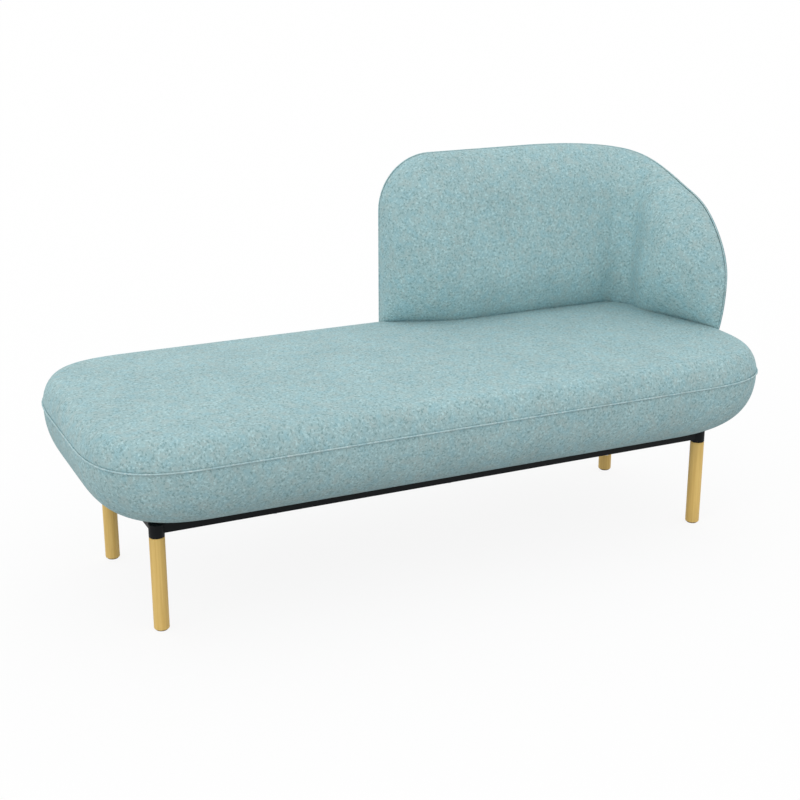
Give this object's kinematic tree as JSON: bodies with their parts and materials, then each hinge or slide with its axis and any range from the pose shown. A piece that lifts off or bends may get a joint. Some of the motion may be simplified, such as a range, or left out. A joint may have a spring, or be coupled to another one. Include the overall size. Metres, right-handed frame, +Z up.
{
  "type": "chaise longue",
  "caption": "Chaise longue with a long rounded pillow seat, a padded back that wraps round a rear corner, a low steel frame and round wooden legs.",
  "frame": {"origin": "on the floor, under the middle of the seat", "axes": "+X along the seat towards the end that the back wraps round, +Y to the rear, +Z up"},
  "size_m": [1.5758, 0.6628, 0.8363],
  "materials": {
    "cover_cloth": "pale blue-green melange wool cloth",
    "welt_cloth": "the same cloth, folded over a cord",
    "dust_cloth": "black non-woven lining",
    "foam": "cut polyurethane foam",
    "plywood": "sanded birch plywood",
    "leg_wood": "clear satin lacquer on pale ash",
    "black_steel": "satin black powder coat",
    "zinc_steel": "zinc plated",
    "glide_plastic": "dark plastic faced with felt"
  },
  "bodies": {
    "root": {"front_rail": "black_steel", "rear_rail": "black_steel", "left_rail": "black_steel", "right_rail": "black_steel", "cross_rail_left": "black_steel", "cross_rail_right": "black_steel", "post_front_left": "black_steel", "post_front_right": "black_steel", "post_rear_left": "black_steel", "post_rear_right": "black_steel", "leg_front_left": "leg_wood", "leg_front_right": "leg_wood", "leg_rear_left": "leg_wood", "leg_rear_right": "leg_wood", "leg_stud_front_left": "zinc_steel", "leg_stud_front_right": "zinc_steel", "leg_stud_rear_left": "zinc_steel", "leg_stud_rear_right": "zinc_steel", "glide_front_left": "glide_plastic", "glide_front_right": "glide_plastic", "glide_rear_left": "glide_plastic", "glide_rear_right": "glide_plastic", "seat_board": "plywood", "seat_lower_foam": "foam", "seat_upper_foam": "foam", "seat_lower_cover": "cover_cloth", "seat_upper_cover": "cover_cloth", "seat_welt": "welt_cloth", "dust_cover": "dust_cloth", "seat_bolt_1": "zinc_steel", "seat_bolt_2": "zinc_steel", "seat_bolt_3": "zinc_steel", "seat_bolt_4": "zinc_steel", "seat_bolt_5": "zinc_steel", "seat_bolt_6": "zinc_steel", "back_bracket_left": "black_steel", "back_bracket_middle": "black_steel", "back_bracket_arm": "black_steel", "bracket_bolt_left_1": "zinc_steel", "bracket_bolt_left_2": "zinc_steel", "bracket_bolt_middle_1": "zinc_steel", "bracket_bolt_middle_2": "zinc_steel", "bracket_bolt_arm_1": "zinc_steel", "bracket_bolt_arm_2": "zinc_steel", "bracket_screw_left_1": "zinc_steel", "bracket_screw_left_2": "zinc_steel", "bracket_screw_middle_1": "zinc_steel", "bracket_screw_middle_2": "zinc_steel", "bracket_screw_arm_1": "zinc_steel", "bracket_screw_arm_2": "zinc_steel", "back_board": "plywood", "back_inner_foam": "foam", "back_outer_foam": "foam", "back_inner_cover": "cover_cloth", "back_outer_cover": "cover_cloth", "back_welt": "welt_cloth"}
  },
  "joints": []
}
